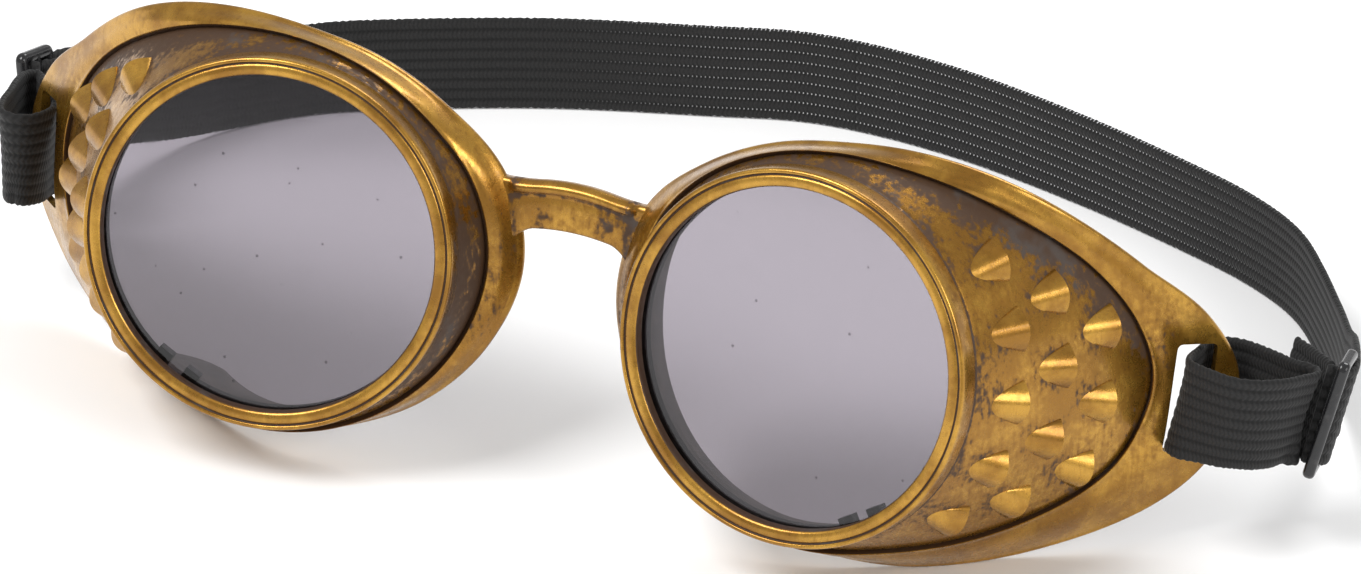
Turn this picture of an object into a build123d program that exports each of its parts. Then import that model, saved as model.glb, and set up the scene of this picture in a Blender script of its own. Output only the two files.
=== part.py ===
"""Round-lens costume goggles on an elastic strap, resting on a table.

The moulded frame is drawn in the goggle frame (X across the face, Y away from the front, Z up, origin midway
between the two lens rings) and leans back on the table by LEAN. Row frame: millimetres, +Z up, -Y is the
front, the origin is the middle of the bridge's rear face, where the goggles sit on the nose.
"""
from build123d import *
from math import cos, radians, sin
import os

os.makedirs("parts", exist_ok=True)

# ---- driving dimensions, mm and degrees ----
LENS_SPACING = 78.2          # between the two ring centres
TOE_IN = 6.5                 # each ring faces a little towards the nose
LEAN = 15.44                 # the goggles lean back by this much on the table
REST_HEIGHT = 34.7           # from the table up to the midpoint between the rings

OPENING_RADIUS = 24.0        # the 48 mm sight opening
RING_RADIUS = 26.64          # outside of the front ring
SEAT_RADIUS = 25.2           # rebate behind the front lip, for a 50 mm lens
LIP_DEPTH = 1.8              # the front lip that holds the lens in
SEAT_END = 7.0               # the rebate runs back to this depth
LENS_RADIUS = 25.0
LENS_THICKNESS = 1.8
RETAINER_THICKNESS = 1.6
RETAINER_INNER = 24.1
RETAINER_GAP_ANGLE = 300     # the split of the retaining ring, lower temple side
RETAINER_GAP = 2.4           # width of the split
RETAINER_CLEARANCE = 0.2
EAR_RADIUS = 22.9            # its two ears reach in to this radius
EAR_SPAN = 7.0               # width of both ears and the split together
EAR_ROOT = 0.6               # how far the ears run into the ring

CHEEK_START = 3.8            # depth where the cheek leaves the ring
CHEEK_SLOPE = 0.43           # its growth in radius per millimetre of depth
WALL = 1.9                   # measured along the radius
GROOVE_DEPTH = 0.9           # the rim stands this far above the cheek
LINING_RADIUS = 26.2         # on the nose side the inside of the cup runs straight back at this radius
LINING_GROOVE = 9.5          # it starts to follow the cheek where the groove is deeper than this
LINING_SPAN = 9.0            # and follows it fully this much deeper

# rim of the cup, going round the ring axis from the temple side over the top: angle, depth of the groove
# that parts cheek and rim, radius of the rim's edge, depth of the rim's edge
STATIONS = [
    (0, 33.0, 47.6, 42.2),
    (11, 30.5, 45.0, 37.5),
    (23, 26.0, 40.6, 29.5),
    (45, 16.5, 36.2, 18.0),
    (68, 10.0, 31.7, 12.4),
    (90, 7.0, 28.8, 11.0),
    (112, 6.0, 28.6, 10.5),
    (135, 6.5, 30.0, 10.2),
    (157, 8.5, 32.7, 11.2),
    (180, 9.5, 33.8, 12.0),
    (202, 9.0, 32.5, 11.6),
    (225, 8.0, 30.8, 11.0),
    (247, 7.5, 29.6, 11.0),
    (270, 8.0, 30.2, 12.4),
    (292, 10.0, 33.6, 18.4),
    (315, 19.5, 38.7, 29.5),
    (337, 30.0, 45.2, 40.4),
    (349, 32.5, 47.4, 42.5),
    (360, 33.0, 47.6, 42.2),
]

RIM_COUNT = len(STATIONS) - 1
HALF_STEPS = 20              # sections in each half of the rim

# studs on the cheek: depth of the row, then the angles in it
STUD_ROWS = [(8.8, (36, 17, -3, -23, -43)), (16.0, (23, 5, -14, -33)), (23.3, (12, -5, -22))]
STUD_RADIUS = 2.9
STUD_TIP_RADIUS = 0.6
STUD_HEIGHT = 3.4
STUD_SINK = 0.9              # how far its foot sits inside the cheek

# strap slot through the tail of the cup, in the ring's own frame
SLOT_INNER = (41.0, -34.9)   # across and forward of the ring centre
SLOT_OUTER = (45.1, -39.5)
SLOT_MIDDLE = -3.5           # height of its middle
SLOT_HEIGHT = 16.0
SLOT_CORNER = 0.3
TAIL_TRIM = 5.0              # the tail is cut away this far beyond the slot, and the bar takes its place
BAR_CENTRE = (46.3, -41.2)   # middle of the bar that the strap goes round
BAR_WIDTH = 3.0
BAR_THICKNESS = 2.0
BAR_CORNER = 0.8
BAR_HEIGHT = 18.6
CUT_REACH = 6.0

BRIDGE_HALF = 10.5
BRIDGE_TOP = 11.6
BRIDGE_BOTTOM = 4.6
BRIDGE_RISE = 1.7
BRIDGE_FRONT = 13.9          # distance behind the ring centres
BRIDGE_THICKNESS = 2.6

STRAP_WIDTH = 15.0
STRAP_THICKNESS = 1.0
SLIDER_BAR = 1.7             # diameter of a slider's bars
SLIDER_PITCH = 3.1
SLIDER_ROUND = 0.7
SLIDER_CORNER = 1.2
SLIDER_HALF_HEIGHT = 8.9

# centre line of each strap loop seen from above in the goggle frame: round the bar, forward out of the slot,
# across to the slider and back. x is counted outwards from the middle.
LEFT_LOOP = [(86.6, 33.6), (87.3, 28.4), (91.0, 25.6), (96.6, 25.7), (100.9, 29.2),
             (102.0, 32.6), (99.5, 34.8), (96.0, 36.9), (92.6, 38.8), (88.3, 39.0)]
RIGHT_LOOP = [(86.5, 33.7), (86.0, 28.2), (88.4, 24.8), (91.4, 27.0), (93.4, 33.0),
              (94.4, 41.0), (93.6, 43.6), (92.4, 42.0), (91.4, 40.2), (88.2, 39.0)]
# slider: centre in the goggle frame, direction of its bars and of the strap through it, for the +X side
LEFT_SLIDER = (104.4, 38.4)
RIGHT_SLIDER = (95.2, 48.8)
SLIDER_UP = (0.2, 0.0, 0.98)
SLIDER_ALONG = (-0.19, 0.98, -0.05)
END_LENGTH = 8.0             # free end of the strap, from the slider towards the head
END_ANGLE = 38               # between it and the slider's inner face
END_START = (1.5, -1.0)      # its start, inwards from and along the slider's centre

# middle line of the strap band from the wearer's left slider to the right one, in the table frame
# (x, y behind the midpoint between the rings, and height of the band's middle above the table)
BAND = [
    (102.6, 43.6, 19.5), (101.0, 50.0, 16.5), (97.8, 59.0, 12.0), (92.2, 71.5, 8.4), (86.0, 81.5, 7.6),
    (79.5, 89.5, 7.6), (71.5, 95.2, 7.6), (60.5, 100.2, 7.6), (39.5, 107.5, 7.6), (17.0, 113.0, 7.6),
    (-3.0, 114.0, 7.6), (-20.0, 109.6, 7.6), (-42.0, 102.6, 7.6), (-65.0, 92.3, 7.6),
    (-74.0, 86.5, 7.6), (-80.5, 80.0, 7.8), (-86.0, 72.0, 9.5), (-90.5, 62.5, 13.0), (-93.4, 54.5, 16.2),
]
BAND_REST = 7.6              # height of the band's middle where it stands on the table
BAND_STEPS = 60
END_LEAN = 0.27              # the ends of the band lean back with the goggles

leaning_plane = Plane(origin=(0, 0, 0), x_dir=(1, 0, 0), z_dir=(0, sin(radians(LEAN)), cos(radians(LEAN))))
nose_rest = Vector(0, BRIDGE_FRONT + BRIDGE_THICKNESS, (BRIDGE_TOP + BRIDGE_BOTTOM + BRIDGE_RISE) / 2)
ring_middle = leaning_plane.from_local_coords(nose_rest) * -1
goggle_plane = Plane(origin=ring_middle, x_dir=leaning_plane.x_dir, z_dir=leaning_plane.z_dir)
table_height = ring_middle.Z - REST_HEIGHT
ring_plane = Plane(origin=(LENS_SPACING / 2, 0, 0),
                   x_dir=(cos(radians(TOE_IN)), -sin(radians(TOE_IN)), 0),
                   z_dir=(-sin(radians(TOE_IN)), -cos(radians(TOE_IN)), 0))
mirror_plane = Plane.YZ


def section_plane(angle):
    """Plane that holds the ring axis at this angle: x is the radius and y points to the front."""
    a = radians(angle)
    return Plane(origin=(0, 0, 0), x_dir=(cos(a), sin(a), 0), z_dir=(sin(a), -cos(a), 0))


def station_at(angle):
    """Groove depth, rim radius and rim depth at any angle, eased smoothly between the stations."""
    index = max(i for i in range(len(STATIONS) - 1) if STATIONS[i][0] <= angle)
    before, after = STATIONS[index], STATIONS[index + 1]
    span = after[0] - before[0]
    part = (angle - before[0]) / span
    values = []
    for column in (1, 2, 3):
        slopes = []
        for centre in (index, index + 1):
            low = STATIONS[(centre - 1) % RIM_COUNT]
            high = STATIONS[(centre + 1) % RIM_COUNT]
            slopes.append((high[column] - low[column]) / ((high[0] - low[0]) % 360) * span)
        fade = part * part * (3 - 2 * part)
        rise = part * (1 - part) ** 2
        fall = part * part * (part - 1)
        values.append(before[column] * (1 - fade) + after[column] * fade + slopes[0] * rise + slopes[1] * fall)
    return values


def cheek_radius(depth):
    return RING_RADIUS + CHEEK_SLOPE * (depth - CHEEK_START)


def wall_profile(groove, edge_radius, edge_depth):
    """Closed section of cheek and rim as (radius, height) points; height is minus the depth."""
    groove_radius = cheek_radius(groove)
    crest = (0.6 * groove_radius + 0.4 * edge_radius, 0.6 * groove + 0.4 * edge_depth - 1.3)
    follow = min(1.0, max(0.0, (groove - LINING_GROOVE) / LINING_SPAN))
    inner_edge = LINING_RADIUS + follow * (crest[0] - 0.7 - LINING_RADIUS)
    inner_depth = edge_depth + 1.0 + follow * (crest[1] + 1.4 - edge_depth)
    inner_wall = LINING_RADIUS - 0.2 + follow * (groove_radius - WALL + 0.8 - LINING_RADIUS)
    return [
        (cheek_radius(CHEEK_START) - 0.9, -CHEEK_START),
        (cheek_radius(CHEEK_START), -CHEEK_START),
        (groove_radius, -groove),
        (groove_radius + 0.25, -groove + GROOVE_DEPTH),
        (crest[0], -crest[1]),
        (edge_radius - 0.5, -edge_depth + 0.6),
        (edge_radius, -edge_depth),
        (edge_radius - 0.5, -edge_depth - 1.2),
        (inner_edge, -inner_depth),
        (inner_wall, -groove - 1.2),
        (cheek_radius(CHEEK_START) - WALL, -CHEEK_START - 0.6),
    ]


# ---- one cup, in the ring's own frame: x to the temple, y up, z out of the front ----
with BuildPart() as cup:
    with BuildSketch(Plane.XZ):
        with BuildLine():
            Polyline((OPENING_RADIUS, -LIP_DEPTH), (OPENING_RADIUS, -0.4), (24.3, 0), (24.9, 0), (25.1, -0.3),
                     (25.7, -0.3), (25.9, 0), (26.3, 0), (RING_RADIUS, -0.4), (RING_RADIUS, -CHEEK_START),
                     (27.3, -SEAT_END), (SEAT_RADIUS, -SEAT_END), (SEAT_RADIUS, -LIP_DEPTH), close=True)
        make_face()
    revolve(axis=Axis.Z)
    for half in (0, 1):
        for step in range(HALF_STEPS + 1):
            angle = 180 * (half + step / HALF_STEPS)
            with BuildSketch(section_plane(angle)):
                with BuildLine():
                    Polyline(*wall_profile(*station_at(angle)), close=True)
                make_face()
        loft(ruled=True)
    for depth, angles in STUD_ROWS:
        for angle in angles:
            a = radians(angle)
            foot = cheek_radius(depth) - STUD_SINK
            lean_out = Vector(cos(a), sin(a), CHEEK_SLOPE).normalized()
            with Locations(Plane(origin=(foot * cos(a), foot * sin(a), -depth), z_dir=lean_out)):
                Cone(STUD_RADIUS, STUD_TIP_RADIUS, STUD_HEIGHT,
                     align=(Align.CENTER, Align.CENTER, Align.MIN))
    slot_plane = Plane(origin=((SLOT_INNER[0] + SLOT_OUTER[0]) / 2, SLOT_MIDDLE,
                               (SLOT_INNER[1] + SLOT_OUTER[1]) / 2),
                       x_dir=(SLOT_OUTER[0] - SLOT_INNER[0], 0, SLOT_OUTER[1] - SLOT_INNER[1]),
                       z_dir=(SLOT_INNER[1] - SLOT_OUTER[1], 0, SLOT_OUTER[0] - SLOT_INNER[0]))
    slot_width = (Vector(*SLOT_OUTER) - Vector(*SLOT_INNER)).length
    with BuildSketch(slot_plane):
        with Locations((TAIL_TRIM / 2, 0)):
            RectangleRounded(slot_width + TAIL_TRIM, SLOT_HEIGHT, SLOT_CORNER)
    extrude(amount=CUT_REACH, both=True, mode=Mode.SUBTRACT)
    bar_plane = Plane(origin=(BAR_CENTRE[0], SLOT_MIDDLE + BAR_HEIGHT / 2, BAR_CENTRE[1]),
                      x_dir=slot_plane.x_dir, z_dir=(0, -1, 0))
    with BuildSketch(bar_plane):
        RectangleRounded(BAR_WIDTH, BAR_THICKNESS, BAR_CORNER)
    extrude(amount=BAR_HEIGHT)
    with Locations((0, 0, -LIP_DEPTH)):
        Cylinder(SEAT_RADIUS, SEAT_END - LIP_DEPTH, mode=Mode.SUBTRACT,
                 align=(Align.CENTER, Align.CENTER, Align.MAX))

with BuildPart() as both_cups:
    with Locations(ring_plane):
        add(cup.part)
    mirror(about=mirror_plane)
    with BuildSketch(Plane.XZ.offset(-BRIDGE_FRONT)):
        with BuildLine():
            bridge_top = ThreePointArc((-BRIDGE_HALF, BRIDGE_TOP), (0, BRIDGE_TOP + BRIDGE_RISE),
                                       (BRIDGE_HALF, BRIDGE_TOP))
            bridge_bottom = ThreePointArc((-BRIDGE_HALF, BRIDGE_BOTTOM), (0, BRIDGE_BOTTOM + BRIDGE_RISE),
                                          (BRIDGE_HALF, BRIDGE_BOTTOM))
            Line(bridge_top @ 0, bridge_bottom @ 0)
            Line(bridge_top @ 1, bridge_bottom @ 1)
        make_face()
    extrude(amount=-BRIDGE_THICKNESS)

with BuildPart() as frame:
    with Locations(goggle_plane):
        add(both_cups.part)
frame.part.label = "frame"
export_step(frame.part, "parts/frame.step")

# ---- lenses and the split rings that hold them in, one set for each cup ----
with BuildPart() as lens:
    with Locations((0, 0, -LIP_DEPTH)):
        Cylinder(LENS_RADIUS, LENS_THICKNESS, align=(Align.CENTER, Align.CENTER, Align.MAX))

with BuildPart() as retainer:
    with BuildSketch(Plane.XY.offset(-LIP_DEPTH - LENS_THICKNESS)):
        Circle(SEAT_RADIUS - RETAINER_CLEARANCE)
        Circle(RETAINER_INNER, mode=Mode.SUBTRACT)
        with PolarLocations((EAR_RADIUS + RETAINER_INNER + EAR_ROOT) / 2, 1, start_angle=RETAINER_GAP_ANGLE):
            Rectangle(RETAINER_INNER - EAR_RADIUS + EAR_ROOT, EAR_SPAN)
        with PolarLocations(RETAINER_INNER, 1, start_angle=RETAINER_GAP_ANGLE):
            Rectangle(EAR_SPAN, RETAINER_GAP, mode=Mode.SUBTRACT)
    extrude(amount=-RETAINER_THICKNESS)


def placed(local_part, side):
    """The part of a cup moved from the ring's frame to the table, on the +X side or its mirror image."""
    in_goggles = local_part.moved(ring_plane.location)
    if side < 0:
        in_goggles = in_goggles.mirror(mirror_plane)
    return in_goggles.moved(goggle_plane.location)


for side, name in ((1, "left"), (-1, "right")):
    for kind, source in (("lens", lens.part), ("lens_retainer", retainer.part)):
        with BuildPart() as cup_piece:
            add(placed(source, side))
        cup_piece.part.label = f"{kind}_{name}"
        export_step(cup_piece.part, f"parts/{kind}_{name}.step")


# ---- strap loops round the slot bars, and the sliders ----
def slider_frame(centre, side):
    """Frame of a slider: x across the face of the strap, y along the strap, z along the bars."""
    up = Vector(side * SLIDER_UP[0], SLIDER_UP[1], SLIDER_UP[2])
    along = Vector(side * SLIDER_ALONG[0], SLIDER_ALONG[1], SLIDER_ALONG[2])
    across = along.cross(up)
    return Plane(origin=(side * centre[0], centre[1], SLOT_MIDDLE), x_dir=across, z_dir=up)


for side, name, route, centre in ((1, "left", LEFT_LOOP, LEFT_SLIDER), (-1, "right", RIGHT_LOOP, RIGHT_SLIDER)):
    with BuildPart() as strap_loop:
        with BuildSketch(goggle_plane.offset(SLOT_MIDDLE - STRAP_WIDTH / 2)):
            with BuildLine():
                Spline(*[(side * x, y) for x, y in route], periodic=True)
            trace(line_width=STRAP_THICKNESS)
        extrude(amount=STRAP_WIDTH)
    strap_loop.part.label = f"strap_loop_{name}"
    export_step(strap_loop.part, f"parts/strap_loop_{name}.step")

    with BuildPart() as slider_local:
        with BuildSketch(Plane.YZ.offset(-SLIDER_BAR / 2)):
            RectangleRounded(2 * SLIDER_PITCH + SLIDER_BAR, 2 * SLIDER_HALF_HEIGHT, SLIDER_CORNER)
            with GridLocations(SLIDER_PITCH, 0, 2, 1):
                Rectangle(SLIDER_PITCH - SLIDER_BAR, 2 * (SLIDER_HALF_HEIGHT - SLIDER_BAR), mode=Mode.SUBTRACT)
        extrude(amount=SLIDER_BAR)
        fillet(slider_local.edges().filter_by(Plane.YZ), SLIDER_ROUND)
    in_goggles = slider_local.part.moved(slider_frame(centre, side).location)
    with BuildPart() as slider:
        with Locations(goggle_plane):
            add(in_goggles)
    slider.part.label = f"slider_{name}"
    export_step(slider.part, f"parts/slider_{name}.step")

    with BuildPart() as end_local:
        with BuildSketch(Plane.XY.offset(-STRAP_WIDTH / 2)):
            with BuildLine():
                PolarLine((-side * END_START[0], END_START[1]), END_LENGTH, 90 + side * END_ANGLE)
            trace(line_width=STRAP_THICKNESS)
        extrude(amount=STRAP_WIDTH)
    end_in_goggles = end_local.part.moved(slider_frame(centre, side).location)
    with BuildPart() as strap_end:
        with Locations(goggle_plane):
            add(end_in_goggles)
    strap_end.part.label = f"strap_end_{name}"
    export_step(strap_end.part, f"parts/strap_end_{name}.step")

# ---- the long band behind the head, standing on its lower edge ----
with BuildLine() as band_route:
    Spline(*[(x, y + ring_middle.Y, z + table_height) for x, y, z in BAND])
with BuildPart() as strap_band:
    for step in range(BAND_STEPS + 1):
        along = step / BAND_STEPS
        point = band_route.line @ along
        heading = band_route.line % along
        raised = (point.Z - table_height - BAND_REST) / (BAND[0][2] - BAND_REST)
        up = Vector(0, END_LEAN * max(0.0, raised), 1)
        up = (up - heading * up.dot(heading)).normalized()
        with BuildSketch(Plane(origin=point, x_dir=up.cross(heading), z_dir=heading)):
            Rectangle(STRAP_THICKNESS, STRAP_WIDTH)
    loft(ruled=True)
strap_band.part.label = "strap_band"
export_step(strap_band.part, "parts/strap_band.step")
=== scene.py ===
"""Round-lens costume goggles: studded gold cups, smoked lenses and a black braided strap with sliders."""
import logging
import math
from dataclasses import dataclass
from enum import Enum, IntEnum
from typing import Sequence

import bpy
import numpy as np
from mathutils import Matrix, Vector


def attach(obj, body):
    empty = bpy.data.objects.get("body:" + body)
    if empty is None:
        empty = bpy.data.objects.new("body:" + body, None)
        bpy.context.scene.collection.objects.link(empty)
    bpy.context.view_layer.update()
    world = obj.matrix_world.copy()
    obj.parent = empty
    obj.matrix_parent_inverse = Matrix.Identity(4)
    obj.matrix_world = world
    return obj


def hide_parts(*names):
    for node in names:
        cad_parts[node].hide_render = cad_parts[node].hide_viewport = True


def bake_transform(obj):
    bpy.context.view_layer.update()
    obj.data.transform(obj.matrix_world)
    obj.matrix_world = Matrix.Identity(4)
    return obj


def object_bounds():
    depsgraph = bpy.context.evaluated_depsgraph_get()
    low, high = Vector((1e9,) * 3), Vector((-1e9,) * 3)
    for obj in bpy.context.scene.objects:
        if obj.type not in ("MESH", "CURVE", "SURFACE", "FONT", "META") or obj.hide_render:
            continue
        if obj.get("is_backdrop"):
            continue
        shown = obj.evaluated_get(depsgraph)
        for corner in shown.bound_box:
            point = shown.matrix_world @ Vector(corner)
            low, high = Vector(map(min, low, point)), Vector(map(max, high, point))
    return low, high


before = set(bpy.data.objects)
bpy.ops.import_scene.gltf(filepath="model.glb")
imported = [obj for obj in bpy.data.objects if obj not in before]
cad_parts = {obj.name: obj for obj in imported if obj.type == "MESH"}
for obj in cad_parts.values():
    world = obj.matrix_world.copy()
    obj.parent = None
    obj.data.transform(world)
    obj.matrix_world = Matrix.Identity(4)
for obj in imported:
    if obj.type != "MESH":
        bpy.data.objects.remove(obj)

log = logging.getLogger("goggles")
Socket = bpy.types.NodeSocket

MM = 0.001
LEAN = math.radians(15.44)
TOE_IN = math.radians(6.5)
HALF_SPACING = 39.1
REST_HEIGHT = 34.7
NOSE_REST = np.array((0.0, 16.5, 8.95))
CAD_LOW, CAD_HIGH = (list(corner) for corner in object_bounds())


class Side(Enum):
    """The wearer's left is +X."""

    LEFT = 1
    RIGHT = -1

    @property
    def label(self) -> str:
        """The side's name as the bodies and nodes spell it."""
        return self.name.lower()


class Zone(IntEnum):
    """Where on a cup's section a point lies."""

    LIP = 0
    RING_WALL = 1
    JOINT = 2
    CHEEK = 3
    GROOVE = 4
    RIM = 5
    EDGE = 6
    INSIDE = 7
    WELL = 8


def goggles_to_row(points: np.ndarray) -> np.ndarray:
    """Move points from the upright goggles to their leaning place on the table.

    Args:
        points: millimetres, x across, y away from the front, z up, from the midpoint between the rings.

    Returns:
        The points in metres in the row frame.
    """
    x, y, z = np.moveaxis(np.asarray(points, float) - NOSE_REST, -1, 0)
    turned = (x, y * math.cos(LEAN) + z * math.sin(LEAN), z * math.cos(LEAN) - y * math.sin(LEAN))
    return np.stack(turned, axis=-1) * MM


def cup_to_row(points: np.ndarray, side: Side) -> np.ndarray:
    """Move points from a ring's own frame (x to the temple, y up, z out of the front) to the table.

    Args:
        points: millimetres from the ring's centre.
        side: which cup.

    Returns:
        The points in metres in the row frame.
    """
    x, y, z = np.moveaxis(np.asarray(points, float), -1, 0)
    across = HALF_SPACING + x * math.cos(TOE_IN) - z * math.sin(TOE_IN)
    back = -x * math.sin(TOE_IN) - z * math.cos(TOE_IN)
    return goggles_to_row(np.stack((side.value * across, back, y), axis=-1))


def table_to_row(points: np.ndarray) -> np.ndarray:
    """Move points given behind the rings' midpoint and above the table to the row frame.

    Args:
        points: millimetres, x across, y behind the midpoint between the rings, z above the table.

    Returns:
        The points in metres in the row frame.
    """
    middle = goggles_to_row(np.zeros(3)) / MM
    shift = np.array((0.0, middle[1], middle[2] - REST_HEIGHT))
    return (np.asarray(points, float) + shift) * MM


def unit(vectors: np.ndarray) -> np.ndarray:
    """The vectors at length one."""
    return vectors / np.linalg.norm(vectors, axis=-1, keepdims=True)


def smooth_line(points: np.ndarray, spacing: float, closed: bool) -> np.ndarray:
    """Points at even steps along a smooth curve through the given ones.

    Args:
        points: control points, any number of columns; the first three set the distance along the curve.
        spacing: the step, in the points' own unit.
        closed: whether the curve returns to its start.

    Returns:
        The evenly spaced points, without a repeat of the first one on a closed curve.
    """
    points = np.asarray(points, float)
    if closed:
        fenced = np.vstack((points[-1:], points, points[:2]))
    else:
        fenced = np.vstack((2 * points[0] - points[1], points, 2 * points[-1] - points[-2]))
    a, b, c, d = fenced[:-3, None], fenced[1:-2, None], fenced[2:-1, None], fenced[3:, None]
    t = np.linspace(0, 1, 40, endpoint=False)[None, :, None]
    dense = 0.5 * (2 * b + (c - a) * t + (2 * a - 5 * b + 4 * c - d) * t ** 2
                   + (3 * b - a - 3 * c + d) * t ** 3)
    dense = np.vstack((dense.reshape(-1, points.shape[1]), points[:1] if closed else points[-1:]))
    lengths = np.linalg.norm(np.diff(dense[:, :3], axis=0), axis=1)
    along = np.concatenate(([0.0], np.cumsum(lengths)))
    count = max(8, round(along[-1] / spacing))
    wanted = np.linspace(0, along[-1], count + 1)
    even = np.stack([np.interp(wanted, along, column) for column in dense.T], axis=-1)
    return even[:-1] if closed else even


def rounded(outline: np.ndarray, cuts: Sequence[float], steps: int) -> np.ndarray:
    """Round every corner of closed outlines with a short curve.

    Args:
        outline: (..., corners, 2) points.
        cuts: how far from each corner its curve starts.
        steps: points on each curve.

    Returns:
        (..., corners * steps, 2) points.
    """
    before = np.roll(outline, 1, axis=-2) - outline
    after = np.roll(outline, -1, axis=-2) - outline
    reach = np.asarray(cuts, float)[:, None]
    size_before = np.linalg.norm(before, axis=-1, keepdims=True) + 1e-9
    size_after = np.linalg.norm(after, axis=-1, keepdims=True) + 1e-9
    start = outline + before * np.minimum(reach / size_before, 0.46)
    end = outline + after * np.minimum(reach / size_after, 0.46)
    t = np.linspace(0, 1, steps)[:, None]
    curve = ((1 - t) ** 2 * start[..., None, :] + 2 * t * (1 - t) * outline[..., None, :]
             + t ** 2 * end[..., None, :])
    return curve.reshape(*outline.shape[:-2], -1, 2)


def solid(name: str, points: np.ndarray, faces: list[tuple[int, ...]]) -> bpy.types.Object:
    """Make a closed mesh object whose faces point outwards.

    Args:
        name: the object's name.
        points: (n, 3) metres in the row frame.
        faces: indices of each face's corners, all turning the same way.

    Returns:
        The object, at the origin and linked to the scene.
    """
    quads = np.array([(f[0], f[1], f[2], f[3 % len(f)]) for f in faces])
    p = points - points.mean(axis=0)
    volume = sum(np.einsum("ij,ij->i", p[quads[:, 0]], np.cross(p[quads[:, i]], p[quads[:, i + 1]])).sum()
                 for i in (1, 2))
    if volume < 0:
        faces = [tuple(reversed(f)) for f in faces]
    mesh = bpy.data.meshes.new(name)
    mesh.from_pydata(points.tolist(), [], faces)
    mesh.update()
    mesh.shade_smooth()
    made = bpy.data.objects.new(name, mesh)
    bpy.context.scene.collection.objects.link(made)
    return made


def grid_faces(rows: int, columns: int, closed_rows: bool) -> list[tuple[int, ...]]:
    """Faces of a grid whose columns close on themselves.

    Args:
        rows: number of rows.
        columns: number of points in a row.
        closed_rows: whether the last row joins the first one; if not, both ends get a cap.

    Returns:
        The faces' corner indices.
    """
    row = np.arange(rows if closed_rows else rows - 1)[:, None]
    column = np.arange(columns)[None, :]
    a = row * columns + column
    b = row * columns + (column + 1) % columns
    below = (row + 1) % rows
    faces = np.stack(np.broadcast_arrays(a, b, below * columns + (column + 1) % columns,
                                         below * columns + column), axis=-1).reshape(-1, 4)
    made = [tuple(face) for face in faces.tolist()]
    if not closed_rows:
        made.append(tuple(reversed(range(columns))))
        made.append(tuple(range((rows - 1) * columns, rows * columns)))
    return made


def add_attribute(made: bpy.types.Object, name: str, values: np.ndarray) -> None:
    """Store one number for each point of a mesh under the given name."""
    layer = made.data.attributes.new(name, "FLOAT", "POINT")
    layer.data.foreach_set("value", np.asarray(values, np.float32).ravel())


class Bench:
    """A material's node tree, with short calls for the nodes that the finishes share."""

    def __init__(self, name: str) -> None:
        """Start a material of this name."""
        self.material = bpy.data.materials.new(name)
        self.material.use_nodes = True
        self.tree = self.material.node_tree
        self.shader = self.tree.nodes["Principled BSDF"]

    def node(self, kind: str, values: dict | None = None, **settings: object) -> bpy.types.Node:
        """Add a node.

        Args:
            kind: its bl_idname.
            values: its inputs, by name or number; a socket is linked and anything else is set.
            settings: its own properties.

        Returns:
            The node.
        """
        made = self.tree.nodes.new(kind)
        for key, value in settings.items():
            setattr(made, key, value)
        for key, value in (values or {}).items():
            if isinstance(value, Socket):
                self.tree.links.new(value, made.inputs[key])
            else:
                made.inputs[key].default_value = value
        return made

    def place(self) -> Socket:
        """The object's own coordinates, in metres."""
        return self.node("ShaderNodeTexCoord").outputs["Object"]

    def attribute(self, name: str) -> Socket:
        """A number stored on the mesh."""
        return self.node("ShaderNodeAttribute", attribute_name=name).outputs["Fac"]

    def math(self, operation: str, first: object, second: object = 0.0) -> Socket:
        """One sum on one or two numbers."""
        values = {0: first, 1: second}
        return self.node("ShaderNodeMath", values, operation=operation).outputs[0]

    def noise(self, size: float, detail: float = 3.0, stretch: Sequence[float] = (1, 1, 1)) -> Socket:
        """Noise on the object's coordinates.

        Args:
            size: a typical grain in millimetres.
            detail: number of finer octaves.
            stretch: how much longer the grain is along x, y and z.

        Returns:
            The noise, around 0.5.
        """
        scale = tuple(1.0 / (size * MM * s) for s in stretch)
        mapped = self.node("ShaderNodeMapping", {"Vector": self.place(), "Scale": scale}).outputs[0]
        values = {"Vector": mapped, "Scale": 1.0, "Detail": detail, "Roughness": 0.6}
        return self.node("ShaderNodeTexNoise", values).outputs["Fac"]

    def range(self, value: Socket, low: float, high: float, start: float = 0.0, end: float = 1.0) -> Socket:
        """Spread a number smoothly from one range to another.

        Args:
            value: the number.
            low: where the result leaves start.
            high: where it reaches end.
            start: result at and below low.
            end: result at and above high.

        Returns:
            The result.
        """
        values = {"Value": value, "From Min": low, "From Max": high, "To Min": start, "To Max": end}
        return self.node("ShaderNodeMapRange", values, interpolation_type="SMOOTHSTEP").outputs[0]

    def mix(self, share: Socket, first: object, second: object) -> Socket:
        """Blend two colours by a share from 0 to 1."""
        return self.node("ShaderNodeMix", {0: share, 6: first, 7: second}, data_type="RGBA").outputs[2]

    def bump(self, height: Socket, distance: float, strength: float = 1.0,
             under: Socket | None = None) -> Socket:
        """Tilt the surface by a height.

        Args:
            height: the relief, from 0 to 1.
            distance: its depth in millimetres.
            strength: how much of it shows.
            under: a normal that it lies on.

        Returns:
            The normal.
        """
        values = {"Height": height, "Distance": distance * MM, "Strength": strength}
        if under is not None:
            values["Normal"] = under
        return self.node("ShaderNodeBump", values).outputs[0]

    def finish(self, **inputs: object) -> bpy.types.Material:
        """Set the shader's inputs, with underscores for spaces, and return the material."""
        for key, value in inputs.items():
            socket = self.shader.inputs[key.replace("_", " ")]
            if isinstance(value, Socket):
                self.tree.links.new(value, socket)
            else:
                socket.default_value = value
        return self.material


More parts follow.
